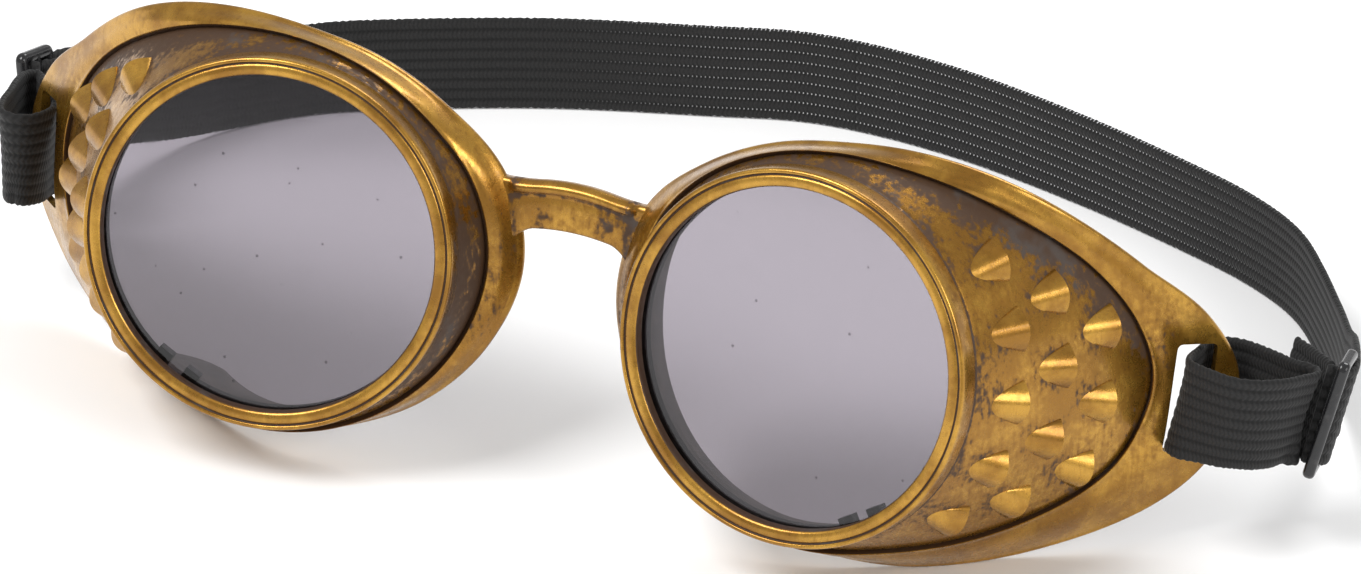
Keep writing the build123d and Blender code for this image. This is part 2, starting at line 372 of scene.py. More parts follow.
@dataclass(frozen=True)
class AntiqueGold:
    """Satin gold paint over black plastic, rubbed with a dark patina that stays in the recesses."""

    bright: tuple[float, float, float, float] = (0.50, 0.27, 0.040, 1.0)
    deep: tuple[float, float, float, float] = (0.27, 0.125, 0.014, 1.0)
    brown: tuple[float, float, float, float] = (0.050, 0.021, 0.006, 1.0)
    ash: tuple[float, float, float, float] = (0.058, 0.041, 0.032, 1.0)

    def material(self) -> bpy.types.Material:
        """Build the paint's material."""
        bench = Bench("antique_gold")
        cloud = bench.noise(9.0, 4.0)
        ragged = bench.noise(1.1, 5.0)
        streak = bench.noise(0.7, 3.0, (1.0, 1.0, 9.0))
        rough_edge = bench.math("ADD", bench.math("MULTIPLY", ragged, 0.62),
                                bench.math("MULTIPLY", streak, 0.38))
        patch = bench.math("MULTIPLY", bench.math("SUBTRACT", bench.noise(6.0, 3.0), 0.5), 0.55)
        swing = bench.math("MULTIPLY", bench.math("SUBTRACT", rough_edge, 0.5), 1.3)
        spread = bench.math("ADD", swing, patch)
        level = bench.math("ADD", bench.attribute("grime"), spread)
        mask = bench.range(level, 0.34, 0.62)
        gold = bench.mix(bench.range(cloud, 0.35, 0.65), self.deep, self.bright)
        scratch = bench.noise(0.22, 2.0, (1.0, 1.0, 22.0))
        brushed = bench.mix(bench.range(scratch, 0.58, 0.75, 0.0, 0.35), gold, self.deep)
        smoky = bench.mix(bench.range(bench.noise(8.0, 3.0), 0.54, 0.66), self.brown, self.ash)
        warm = bench.mix(bench.range(level, 0.02, 0.42), brushed, bench.mix(mask, self.deep, self.brown))
        colour = bench.mix(mask, warm, smoky)
        rough = bench.math("ADD", bench.range(mask, 0.0, 1.0, 0.27, 0.6),
                           bench.range(ragged, 0.3, 0.7, -0.04, 0.08))
        fine = bench.bump(bench.noise(0.35, 3.0), 0.02, 0.5)
        normal = bench.bump(scratch, 0.015, 0.6, fine)
        metal = bench.range(mask, 0.0, 1.0, 0.80, 0.1)
        return bench.finish(Base_Color=colour, Roughness=rough, Metallic=metal, Normal=normal,
                            Coat_Weight=bench.range(mask, 0.0, 1.0, 0.25, 0.05), Coat_Roughness=0.12)


@dataclass(frozen=True)
class BarePlastic:
    """The unpainted inside of the cups: dark moulded plastic with dusty patches."""

    colour: tuple[float, float, float, float] = (0.13, 0.115, 0.10, 1.0)
    dusty: tuple[float, float, float, float] = (0.22, 0.19, 0.16, 1.0)

    def material(self) -> bpy.types.Material:
        """Build the plastic's material."""
        bench = Bench("bare_plastic")
        base = bench.mix(bench.range(bench.noise(3.0, 4.0), 0.4, 0.7), self.colour, self.dusty)
        rough = bench.range(bench.noise(1.5), 0.3, 0.7, 0.42, 0.6)
        return bench.finish(Base_Color=base, Roughness=rough, Normal=bench.bump(bench.noise(0.5), 0.03, 0.5))


@dataclass(frozen=True)
class SmokedLens:
    """Clear plastic with a light smoke tint, dust specks and faint smears."""

    tint: tuple[float, float, float, float] = (0.330, 0.300, 0.340, 1.0)
    speck: tuple[float, float, float, float] = (0.03, 0.025, 0.03, 1.0)

    def material(self) -> bpy.types.Material:
        """Build the lens's material."""
        bench = Bench("smoked_lens")
        cells = bench.node("ShaderNodeTexVoronoi", {"Vector": bench.place(), "Scale": 210.0})
        near = bench.range(cells.outputs["Distance"], 0.035, 0.06, 0.85, 0.0)
        base = bench.mix(near, self.tint, self.speck)
        smear = bench.range(bench.noise(6.0, 4.0, (1.0, 1.0, 3.0)), 0.5, 0.8, 0.015, 0.09)
        return bench.finish(Base_Color=base, Roughness=smear, Transmission_Weight=1.0, IOR=1.47)


@dataclass(frozen=True)
class BlackMoulding:
    """Black moulded plastic, glossy or satin."""

    name: str
    roughness: float
    colour: tuple[float, float, float, float] = (0.012, 0.012, 0.013, 1.0)
    worn: tuple[float, float, float, float] = (0.035, 0.034, 0.034, 1.0)

    def material(self) -> bpy.types.Material:
        """Build the plastic's material."""
        bench = Bench(self.name)
        base = bench.mix(bench.range(bench.noise(1.4, 4.0), 0.5, 0.75), self.colour, self.worn)
        rough = bench.range(bench.noise(2.0), 0.3, 0.7, self.roughness, self.roughness + 0.12)
        return bench.finish(Base_Color=base, Roughness=rough, Normal=bench.bump(bench.noise(0.6), 0.02, 0.4))


@dataclass(frozen=True)
class BraidedElastic:
    """Black braided elastic: lengthwise ribs crossed by V stitches, with painted shade darkening the valleys
    and pale painted light showing through tiny gaps where it stretches.
    """

    ribs: int = 9
    stitch: float = 0.62
    yarn: tuple[float, float, float, float] = (0.017, 0.0165, 0.0165, 1.0)
    # painted shade: the darker colour given to the valleys between ribs and stitches
    valley_shade: tuple[float, float, float, float] = (0.0035, 0.0034, 0.0034, 1.0)
    lint: tuple[float, float, float, float] = (0.09, 0.085, 0.08, 1.0)
    # painted light: the pale colour stands for light showing through the weave's gaps
    see_through_light: tuple[float, float, float, float] = (0.55, 0.55, 0.56, 1.0)

    def material(self) -> bpy.types.Material:
        """Build the braid's material; its UV map holds millimetres along and across."""
        bench = Bench("braided_elastic")
        weave = bench.node("ShaderNodeUVMap", uv_map="weave").outputs[0]
        split = bench.node("ShaderNodeSeparateXYZ", {0: weave})
        along, across = split.outputs[0], split.outputs[1]
        rib = bench.math("MULTIPLY", across, self.ribs / StrapRibbon.width)
        inside = bench.math("FRACT", bench.math("ADD", rib, 100.5))
        off = bench.math("MULTIPLY", bench.math("ABSOLUTE", bench.math("SUBTRACT", inside, 0.5)), 2.0)
        turn = bench.math("ADD", bench.math("DIVIDE", along, self.stitch), bench.math("MULTIPLY", off, 0.55))
        wave = bench.math("SINE", bench.math("MULTIPLY", turn, 2 * math.pi))
        stitch = bench.range(wave, -1.0, 1.0)
        crown = bench.range(off, 0.25, 1.0, 1.0, 0.0)
        relief = bench.math("ADD", bench.math("MULTIPLY", crown, 0.6), bench.math("MULTIPLY", stitch, 0.4))
        fuzz = bench.noise(0.12, 2.0)
        # painted shade: the colour darkens from the yarn's crowns into the valleys, with random fuzz
        shade_tone = bench.math("MULTIPLY", relief, bench.range(fuzz, 0.25, 0.75, 0.55, 1.25))
        base = bench.mix(bench.range(shade_tone, 0.15, 0.95), self.valley_shade, self.yarn)
        dust = bench.mix(bench.range(bench.noise(0.5, 6.0), 0.68, 0.76, 0.0, 0.7), base, self.lint)
        # painted light: pale dots at the rib edges, opened by the stretch, stand for light showing through
        # pinholes
        pinhole_light_mask = bench.math("MULTIPLY", bench.range(off, 0.80, 0.92), bench.range(wave, 0.55, 0.85))
        gap_light_share = bench.math("MULTIPLY", pinhole_light_mask, bench.attribute("stretch"))
        colour = bench.mix(gap_light_share, dust, self.see_through_light)
        fine = bench.bump(fuzz, 0.05, 0.5)
        return bench.finish(Base_Color=colour, Roughness=0.72, Normal=bench.bump(relief, 0.14, 0.8, fine),
                            Sheen_Weight=0.06, Sheen_Roughness=0.5, Specular_IOR_Level=0.3)


@dataclass(frozen=True)
class PaleTable:
    """The plain table that the goggles rest on."""

    colour: tuple[float, float, float, float] = (0.93, 0.93, 0.93, 1.0)

    def material(self) -> bpy.types.Material:
        """Build the table's material."""
        bench = Bench("pale_table")
        return bench.finish(Base_Color=self.colour, Roughness=0.85)


@dataclass
class Cup:
    """One moulded cup: front ring, cheek, rim and tail with its strap slot, swept round the ring's axis."""

    side: Side
    steps: int = 360
    opening: float = 24.0
    ring: float = 26.64
    seat: float = 25.2
    cheek_start: float = 3.8
    cheek_slope: float = 0.43
    cheek_points: int = 16
    wall: float = 1.9
    lining: float = 26.2
    lining_groove: float = 9.5
    lining_span: float = 9.0
    lip_back: float = 1.8
    wall_start: float = 4.4
    seat_end: float = 7.0
    cut_reach: float = 6.0
    stud_reach: float = 2.9
    slot_inner: tuple[float, float] = (41.0, -34.9)
    slot_outer: tuple[float, float] = (45.1, -39.5)
    slot_middle: float = -3.5
    slot_height: float = 16.0
    # angle from the temple side over the top, depth of the groove, radius and depth of the rim's edge
    stations: tuple[tuple[float, ...], ...] = (
        (0, 33.0, 47.6, 42.2), (11, 30.5, 45.0, 37.5), (23, 26.0, 40.6, 29.5), (45, 16.5, 36.2, 18.0),
        (68, 10.0, 31.7, 12.4), (90, 7.0, 28.8, 11.0), (112, 6.0, 28.6, 10.5), (135, 6.5, 30.0, 10.2),
        (157, 8.5, 32.7, 11.2), (180, 9.5, 33.8, 12.0), (202, 9.0, 32.5, 11.6), (225, 8.0, 30.8, 11.0),
        (247, 7.5, 29.6, 11.0), (270, 8.0, 30.2, 12.4), (292, 10.0, 33.6, 18.4), (315, 19.5, 38.7, 29.5),
        (337, 30.0, 45.2, 40.4), (349, 32.5, 47.4, 42.5), (360, 33.0, 47.6, 42.2))
    stud_rows: tuple[tuple[float, tuple[float, ...]], ...] = (
        (8.8, (36, 17, -3, -23, -43)), (16.0, (23, 5, -14, -33)), (23.3, (12, -5, -22)))

    def cheek(self, depth: np.ndarray | float) -> np.ndarray | float:
        """Radius of the cheek's outer face at a depth."""
        return self.ring + self.cheek_slope * (depth - self.cheek_start)

    def station(self, angle: float) -> list[float]:
        """Groove depth, rim radius and rim depth at an angle in degrees, eased between the stations."""
        rows = self.stations
        count = len(rows) - 1
        index = max(i for i in range(count) if rows[i][0] <= angle)
        first, second = rows[index], rows[index + 1]
        span = second[0] - first[0]
        t = (angle - first[0]) / span
        found = []
        for column in (1, 2, 3):
            slopes = []
            for centre in (index, index + 1):
                low, high = rows[(centre - 1) % count], rows[(centre + 1) % count]
                slopes.append((high[column] - low[column]) / ((high[0] - low[0]) % 360) * span)
            fade = t * t * (3 - 2 * t)
            found.append(first[column] * (1 - fade) + second[column] * fade
                         + slopes[0] * t * (1 - t) ** 2 + slopes[1] * t * t * (t - 1))
        return found

    def outline(self, angle: float) -> tuple[list[tuple[float, float]], list[float], list[Zone]]:
        """The closed section at an angle.

        Args:
            angle: degrees from the temple side over the top.

        Returns:
            (radius, height) corners with height as minus the depth, each corner's rounding and its zone.
        """
        groove, edge, deep = self.station(angle)
        foot = self.cheek(groove)
        crest = (0.6 * foot + 0.4 * edge, 0.6 * groove + 0.4 * deep - 1.3)
        follow = min(1.0, max(0.0, (groove - self.lining_groove) / self.lining_span))
        back_edge = (self.lining + follow * (crest[0] - 0.7 - self.lining),
                     deep + 1.0 + follow * (crest[1] + 1.4 - deep))
        rear = (self.lining - 0.2 + follow * (foot - self.wall + 0.8 - self.lining), groove + 1.2)
        base = self.cheek(self.cheek_start) - self.wall
        share = (self.seat_end - self.wall_start) / (rear[1] - self.wall_start)
        step = max(self.seat + 0.15, base + (rear[0] - base) * share)
        corners = [
            (self.opening, -self.lip_back, 0.1, Zone.WELL), (self.opening, -0.45, 0.15, Zone.WELL),
            (24.28, -0.05, 0.2, Zone.LIP),
            (24.95, 0.06, 0.3, Zone.LIP), (25.55, -0.04, 0.2, Zone.LIP), (25.74, -0.3, 0.12, Zone.GROOVE),
            (25.9, -0.28, 0.1, Zone.GROOVE), (26.0, 0.0, 0.12, Zone.LIP), (26.36, 0.02, 0.15, Zone.LIP),
            (26.62, -0.25, 0.2, Zone.LIP), (self.ring, -1.5, 0.3, Zone.RING_WALL),
            (self.ring, -3.2, 0.3, Zone.RING_WALL), (26.56, -3.75, 0.25, Zone.JOINT)]
        for depth in np.linspace(self.cheek_start + 0.35, groove - 0.75, self.cheek_points):
            corners.append((self.cheek(depth), -depth, 0.4, Zone.CHEEK))
        corners += [
            (foot - 0.28, -groove + 0.02, 0.3, Zone.GROOVE), (foot + 0.12, -groove + 0.7, 0.3, Zone.GROOVE),
            (foot + 0.42, -groove + 0.92, 0.3, Zone.RIM),
            (0.7 * foot + 0.3 * crest[0], -(0.7 * groove + 0.3 * crest[1]) + 0.75, 0.6, Zone.RIM),
            (crest[0], -crest[1], 1.5, Zone.RIM),
            (0.35 * crest[0] + 0.65 * (edge - 0.5), -(0.35 * crest[1] + 0.65 * (deep - 0.6)) - 0.1, 1.2,
             Zone.RIM),
            (edge - 0.5, -deep + 0.65, 0.5, Zone.EDGE), (edge, -deep, 0.5, Zone.EDGE),
            (edge - 0.4, -deep - 1.1, 0.5, Zone.EDGE), (back_edge[0], -back_edge[1], 0.5, Zone.INSIDE),
            (rear[0], -rear[1], 0.5, Zone.INSIDE),
            (0.5 * (rear[0] + step), -0.5 * (rear[1] + self.seat_end), 0.4, Zone.INSIDE),
            (step, -self.seat_end, 0.1, Zone.INSIDE), (self.seat, -self.seat_end, 0.15, Zone.INSIDE),
            (self.seat, -4.5, 0.3, Zone.INSIDE), (self.seat, -self.lip_back, 0.1, Zone.INSIDE)]
        return [c[:2] for c in corners], [c[2] for c in corners], [c[3] for c in corners]

    def grime(self, angles: np.ndarray, section: np.ndarray, zones: np.ndarray) -> np.ndarray:
        """How much patina each point of the shell holds.

        Args:
            angles: degrees of each row.
            section: (rows, columns, 2) radius and height.
            zones: zone of each column.

        Returns:
            (rows, columns) levels; about 0.5 is the edge of the patina.
        """
        levels = {Zone.LIP: 0.02, Zone.RING_WALL: 0.22, Zone.JOINT: 0.60, Zone.CHEEK: 0.20, Zone.GROOVE: 0.75,
                  Zone.RIM: 0.02, Zone.EDGE: 0.04, Zone.INSIDE: 0.5, Zone.WELL: 1.3}
        made = np.broadcast_to(np.array([levels[Zone(z)] for z in zones]), section.shape[:2]).copy()
        turn = angles[:, None]
        nose = np.exp(-(((turn - 190) / 38) ** 2))
        made += 0.34 * nose * np.isin(zones, (Zone.CHEEK, Zone.RIM, Zone.RING_WALL))[None, :]
        temple = np.minimum(turn, 360 - turn)
        made += 0.30 * np.exp(-((temple / 22) ** 2)) * (zones == Zone.RIM)[None, :] * (
            section[..., 0] < 42.5)
        depth = -section[..., 1]
        groove = np.array([self.station(a)[0] for a in angles])[:, None]
        upper = np.exp(-(((turn - 42) / 40) ** 2))
        near = np.exp(-(((groove - depth) / (2.0 + 4.5 * upper)) ** 2))
        made += (0.22 + 0.30 * upper) * near * (zones == Zone.CHEEK)[None, :]
        on_cheek = (zones == Zone.CHEEK)[None, :]
        made += 0.22 * np.exp(-(((depth - self.cheek_start) / 1.4) ** 2)) * on_cheek
        for row_depth, row_angles in self.stud_rows:
            for angle in row_angles:
                away = (turn - angle + 180) % 360 - 180
                sideways = np.radians(away) * self.cheek(row_depth) / 3.6
                lengthwise = (depth - row_depth) / 3.6
                made += 0.24 * np.exp(-((sideways ** 2 + lengthwise ** 2) ** 2)) * on_cheek
        return made

    def shell(self, finishes: Sequence[bpy.types.Material]) -> bpy.types.Object:
        """Sweep the section round the ring, dress it in the outer and inner finish and cut the slot."""
        angles = np.arange(self.steps) * 360.0 / self.steps
        corners, cuts, zones = zip(*(self.outline(a) for a in angles))
        section = rounded(np.array(corners), cuts[0], 3)
        columns = section.shape[1]
        zone_row = np.repeat(np.array(zones[0], int), 3)
        turn = np.radians(angles)[:, None]
        radius, height = section[..., 0], section[..., 1]
        local = np.stack((radius * np.cos(turn), radius * np.sin(turn), height), axis=-1)
        faces = grid_faces(self.steps, columns, True)
        made = solid(f"cup_{self.side.label}", cup_to_row(local, self.side).reshape(-1, 3), faces)
        add_attribute(made, "grime", self.grime(angles, section, zone_row))
        for finish in finishes:
            made.data.materials.append(finish)
        inside = np.tile((zone_row == Zone.INSIDE) & (np.roll(zone_row, -1) == Zone.INSIDE), self.steps)
        made.data.polygons.foreach_set("material_index", inside.astype(np.int32))
        self.cut(made)
        made.data.set_sharp_from_angle(angle=math.radians(42))
        return made

    def cut(self, shell: bpy.types.Object) -> None:
        """Cut the strap slot through the tail with a round-cornered block."""
        inner, outer = np.array(self.slot_inner), np.array(self.slot_outer)
        middle = (inner + outer) / 2
        run = unit(outer - inner)
        width = float(np.linalg.norm(outer - inner))
        half = np.array((width / 2, self.slot_height / 2))
        block = np.array(((-1, -1), (1, -1), (1, 1), (-1, 1))) * half
        ring = rounded(block, [0.9] * 4, 6)
        points = []
        for reach in (-self.cut_reach, self.cut_reach):
            across = middle[0] + ring[:, 0] * run[0] - reach * run[1]
            ahead = middle[1] + ring[:, 0] * run[1] + reach * run[0]
            points.append(np.stack((across, self.slot_middle + ring[:, 1], ahead), axis=-1))
        cutter = solid("slot_cutter", cup_to_row(np.array(points), self.side).reshape(-1, 3),
                       grid_faces(2, len(ring), False))
        modifier = shell.modifiers.new("slot", "BOOLEAN")
        modifier.operation = "DIFFERENCE"
        modifier.solver = "EXACT"
        modifier.object = cutter
        bpy.context.view_layer.update()
        graph = bpy.context.evaluated_depsgraph_get()
        cut = bpy.data.meshes.new_from_object(shell.evaluated_get(graph))
        shell.modifiers.clear()
        shell.data = cut
        bpy.data.objects.remove(cutter)

    def stud_places(self) -> tuple[np.ndarray, np.ndarray]:
        """Feet of the studs in the row frame, and the turn that points each one to the tail and outwards."""
        feet, turns = [], []
        for depth, angles in self.stud_rows:
            for angle in angles:
                a = math.radians(angle)
                radius = self.cheek(depth)
                foot = np.array((radius * math.cos(a), radius * math.sin(a), -depth))
                back = unit(np.array((self.cheek_slope * math.cos(a), self.cheek_slope * math.sin(a), -1.0)))
                out = unit(np.array((math.cos(a), math.sin(a), self.cheek_slope)))
                end = foot + back * self.stud_reach
                spots = cup_to_row(np.array((end, end + back, end + out)), self.side)
                x, z = unit(spots[1] - spots[0]), unit(spots[2] - spots[0])
                feet.append(spots[0])
                turns.append(Matrix(np.stack((x, np.cross(z, x), z), axis=-1).tolist()).to_euler())
        return np.array(feet), np.array([tuple(turn) for turn in turns])

    def build(self, gold: bpy.types.Material, bare: bpy.types.Material) -> list[bpy.types.Object]:
        """Make the shell and its studs, dressed in the paint and the bare inside, on the body."""
        shell = self.shell((gold, bare))
        studs = StudRows().build(f"studs_{self.side.label}", *self.stud_places(), gold)
        for piece in (shell, studs):
            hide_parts("frame")
            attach(piece, "root")
        return [shell, studs]


@dataclass
class StudRows:
    """Scale-shaped studs: each rises from a point at the ring side as an arch with a square tail end."""

    length: float = 5.2
    half_width: float = 3.2
    height: float = 2.0
    sink: float = 0.5

    def tree(self) -> bpy.types.NodeTree:
        """Build the node tree that sets a stud on every point."""
        tree = bpy.data.node_groups.new("stud_rows", "GeometryNodeTree")
        sockets = tree.interface
        sockets.new_socket(name="Geometry", in_out="INPUT", socket_type="NodeSocketGeometry")
        for name in ("Length", "Half Width", "Height"):
            sockets.new_socket(name=name, in_out="INPUT", socket_type="NodeSocketFloat")
        sockets.new_socket(name="Finish", in_out="INPUT", socket_type="NodeSocketMaterial")
        sockets.new_socket(name="Geometry", in_out="OUTPUT", socket_type="NodeSocketGeometry")
        nodes, link = tree.nodes, tree.links.new
        given = nodes.new("NodeGroupInput")
        block = nodes.new("GeometryNodeMeshCube")
        for name, count in (("Vertices X", 14), ("Vertices Y", 19), ("Vertices Z", 2)):
            block.inputs[name].default_value = count
        place = nodes.new("ShaderNodeSeparateXYZ")
        link(nodes.new("GeometryNodeInputPosition").outputs[0], place.inputs[0])

        def work(operation: str, first: Socket | float, second: Socket | float = 0.0) -> Socket:
            """One sum on one or two numbers."""
            step = nodes.new("ShaderNodeMath")
            step.operation = operation
            for slot, value in zip(step.inputs, (first, second)):
                if isinstance(value, Socket):
                    link(value, slot)
                else:
                    slot.default_value = value
            return step.outputs[0]

        run = work("MAXIMUM", work("ADD", place.outputs[0], 0.5), 0.05)
        wide = work("MULTIPLY", place.outputs[1], 2.0)
        square = work("MULTIPLY", run, run)
        arch = work("MULTIPLY", square, work("SUBTRACT", 1.0, work("MULTIPLY", wide, wide)))
        above = work("GREATER_THAN", place.outputs[2], 0.0)
        rise = work("MULTIPLY", work("MULTIPLY", arch, above), given.outputs["Height"])
        sunk = work("MULTIPLY", work("SUBTRACT", above, 1.0), self.sink * MM)
        shape = nodes.new("ShaderNodeCombineXYZ")
        link(work("MULTIPLY", work("SUBTRACT", square, 1.0), given.outputs["Length"]), shape.inputs[0])
        link(work("MULTIPLY", work("MULTIPLY", wide, run), given.outputs["Half Width"]), shape.inputs[1])
        link(work("ADD", rise, sunk), shape.inputs[2])
        shaped = nodes.new("GeometryNodeSetPosition")
        link(block.outputs["Mesh"], shaped.inputs["Geometry"])
        link(shape.outputs[0], shaped.inputs["Position"])
        turn = nodes.new("GeometryNodeInputNamedAttribute")
        turn.data_type = "FLOAT_VECTOR"
        turn.inputs["Name"].default_value = "turn"
        spread = nodes.new("GeometryNodeInstanceOnPoints")
        link(given.outputs["Geometry"], spread.inputs["Points"])
        link(shaped.outputs[0], spread.inputs["Instance"])
        link(turn.outputs["Attribute"], spread.inputs["Rotation"])
        real = nodes.new("GeometryNodeRealizeInstances")
        link(spread.outputs[0], real.inputs[0])
        dressed = nodes.new("GeometryNodeSetMaterial")
        link(real.outputs[0], dressed.inputs["Geometry"])
        link(given.outputs["Finish"], dressed.inputs["Material"])
        link(dressed.outputs[0], nodes.new("NodeGroupOutput").inputs[0])
        return tree

    def build(self, name: str, feet: np.ndarray, turns: np.ndarray,
              finish: bpy.types.Material) -> bpy.types.Object:
        """Make one cup's studs.

        Args:
            name: the piece's name.
            feet: the middle of each stud's square end, on the cheek.
            turns: each stud's turn, as Euler angles.
            finish: its material.

        Returns:
            The studs as one plain mesh.
        """
        mesh = bpy.data.meshes.new(f"{name}_points")
        mesh.from_pydata(feet.tolist(), [], [])
        layer = mesh.attributes.new("turn", "FLOAT_VECTOR", "POINT")
        layer.data.foreach_set("vector", turns.astype(np.float32).ravel())
        points = bpy.data.objects.new(f"{name}_points", mesh)
        bpy.context.scene.collection.objects.link(points)
        modifier = points.modifiers.new("studs", "NODES")
        tree = self.tree()
        modifier.node_group = tree
        sizes = {"Length": self.length * MM, "Half Width": self.half_width * MM, "Height": self.height * MM,
                 "Finish": finish}
        for item in tree.interface.items_tree:
            if item.in_out == "INPUT" and item.name in sizes:
                modifier[item.identifier] = sizes[item.name]
        bpy.context.view_layer.update()
        graph = bpy.context.evaluated_depsgraph_get()
        made = bpy.data.objects.new(name, bpy.data.meshes.new_from_object(points.evaluated_get(graph)))
        bpy.context.scene.collection.objects.link(made)
        bpy.data.objects.remove(points)
        made.data.shade_smooth()
        made.data.set_sharp_from_angle(angle=math.radians(50))
        corners = np.array([v.co for v in made.data.vertices])
        one = corners.reshape(len(feet), -1, 3)
        away = np.linalg.norm(one - feet[:, None], axis=-1) / (self.length * MM)
        add_attribute(made, "grime", 0.02 + 0.30 * np.clip(away - 0.72, 0, 1))
        return made


@dataclass
class Bridge:
    """The arched band between the cups, with a bead along its top edge."""

    half: float = 12.2
    arch_half: float = 10.5
    flare_start: float = 5.6
    bead_end: float = 8.6
    top: float = 11.6
    bottom: float = 4.6
    rise: float = 1.7
    front: float = 13.9
    thickness: float = 2.6
    steps: int = 120

    def build(self, gold: bpy.types.Material) -> list[bpy.types.Object]:
        """Make the bridge, dress it and put it on the body."""
        rows = []
        for x in np.linspace(-self.half, self.half, self.steps):
            arch = self.rise * (1 - (x / self.arch_half) ** 2)
            out = max(0.0, abs(x) - self.flare_start)
            low = self.bottom + arch - 0.16 * out ** 2
            high = self.top + arch + 0.035 * out ** 2
            bead = 0.55 * (1 - min(1.0, max(0.0, abs(x) - self.bead_end)))
            f, r = self.front, self.front + self.thickness
            ring = [(f + 0.1, low + 0.5), (f - 0.05, (low + high) / 2), (f, high - 2.1),
                    (f - 0.1, high - 1.75), (f - bead - 0.1, high - 1.35), (f - bead - 0.15, high - 0.55),
                    (f + 0.2, high + 0.3 * bead), (f + 1.0, high + 0.35 * bead), (r - 0.4, high - 0.1),
                    (r, high - 0.6), (r, low + 0.6), (r - 0.4, low), (f + 0.6, low)]
            section = rounded(np.array(ring), [0.5, 1.0, 0.2, 0.15] + [0.4] * 6 + [0.5] * 3, 5)
            rows.append(np.column_stack((np.full(len(section), x), section)))
        grid = np.array(rows)
        made = solid("bridge", goggles_to_row(grid).reshape(-1, 3), grid_faces(*grid.shape[:2], False))
        x, z = grid[..., 0], grid[..., 2]
        level = 0.16 + 0.30 * np.exp(-(((np.abs(x) - self.bead_end) / 1.2) ** 2))
        for spot in (-4.6, 5.0):
            level += 0.34 * np.exp(-(((x - spot) / 1.5) ** 2) - (((z - 8.2) / 2.4) ** 2))
        groove = np.exp(-(((z - (self.top + self.rise * (1 - (x / self.arch_half) ** 2) - 1.9)) / 0.35) ** 2))
        add_attribute(made, "grime", level + 0.3 * groove)
        made.data.materials.append(gold)
        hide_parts("frame")
        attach(made, "root")
        return [made]


@dataclass
class Glazing:
    """The lenses and the split rings behind them, which keep their CAD shapes."""

    def build(self, lens: bpy.types.Material, ring: bpy.types.Material) -> list[bpy.types.Object]:
        """Dress the two lenses and the two split rings and return them."""
        dressed = []
        for side in Side:
            for name, finish in ((f"lens_{side.label}", lens), (f"lens_retainer_{side.label}", ring)):
                dressed.append(dress(name, finish))
        return dressed


def dress(node: str, finish: bpy.types.Material) -> bpy.types.Object:
    """Give a CAD node a material and return its object."""
    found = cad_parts[node]
    found.data.materials.clear()
    found.data.materials.append(finish)
    return found


@dataclass
class StrapRibbon:
    """A length of braided elastic along a line, with ribs on both faces and scalloped edges."""

    name: str
    line: np.ndarray
    ups: np.ndarray
    closed: bool = False
    width: float = 15.0
    thickness: float = 1.0
    ribs: int = 9
    across_steps: int = 72
    scallop: float = 1.15

    def build(self, finish: bpy.types.Material, stretch: np.ndarray | None = None,
              start: float = 0.0) -> bpy.types.Object:
        """Make the ribbon's mesh.

        Args:
            finish: the braid.
            stretch: how far the weave is pulled open at each point of the line, from 0 to 1; it sets how much
                painted see-through light shows in the gaps.
            start: distance along the strap at which this length starts, in millimetres.

        Returns:
            The ribbon, dressed.
        """
        if self.closed:
            heading = np.roll(self.line, -1, axis=0) - np.roll(self.line, 1, axis=0)
        else:
            heading = np.gradient(self.line, axis=0)
        heading = unit(heading)
        ups = unit(self.ups - heading * np.einsum("ij,ij->i", self.ups, heading)[:, None])
        face = np.cross(heading, ups)
        steps = np.linalg.norm(np.diff(self.line, axis=0), axis=1)
        along = np.concatenate(([0.0], np.cumsum(steps))) / MM + start
        place = np.linspace(-1, 1, self.across_steps)
        crown = np.abs(np.cos(math.pi * place * self.ribs / 2)) ** 0.7
        taper = np.clip((1 - np.abs(place)) / 0.035, 0, 1) ** 0.5
        height = self.thickness / 2 * (0.66 + 0.34 * crown) * (0.45 + 0.55 * taper)
        out = np.concatenate((place, place[::-1])) * self.width / 2
        rise = np.concatenate((height, -height[::-1]))
        wave = np.abs(np.sin(math.pi * along / self.scallop))[:, None]
        edge = np.clip((np.abs(out) - self.width / 2 + 0.7) / 0.7, 0, 1)[None, :]
        reach = out[None, :] - np.sign(out)[None, :] * 0.22 * edge * (1 - wave)
        grid = (self.line[:, None] + ups[:, None] * reach[..., None] * MM
                + face[:, None] * rise[None, :, None] * MM)
        rows, columns = grid.shape[:2]
        made = solid(self.name, grid.reshape(-1, 3), grid_faces(rows, columns, self.closed))
        loops = np.empty(len(made.data.loops), np.int32)
        made.data.loops.foreach_get("vertex_index", loops)
        row, column = loops // columns, loops % columns
        u = along[row]
        if self.closed:
            face_row = np.arange(len(loops)) // 4 // columns
            total = along[-1] + float(np.linalg.norm(self.line[0] - self.line[-1])) / MM
            u = np.where((face_row == rows - 1) & (row == 0), total, u)
        uv = made.data.uv_layers.new(name="weave")
        uv.data.foreach_set("uv", np.stack((u, out[column]), axis=-1).astype(np.float32).ravel())
        pulled = np.zeros(rows) if stretch is None else stretch
        add_attribute(made, "stretch", np.repeat(pulled, columns))
        made.data.materials.append(finish)
        return made


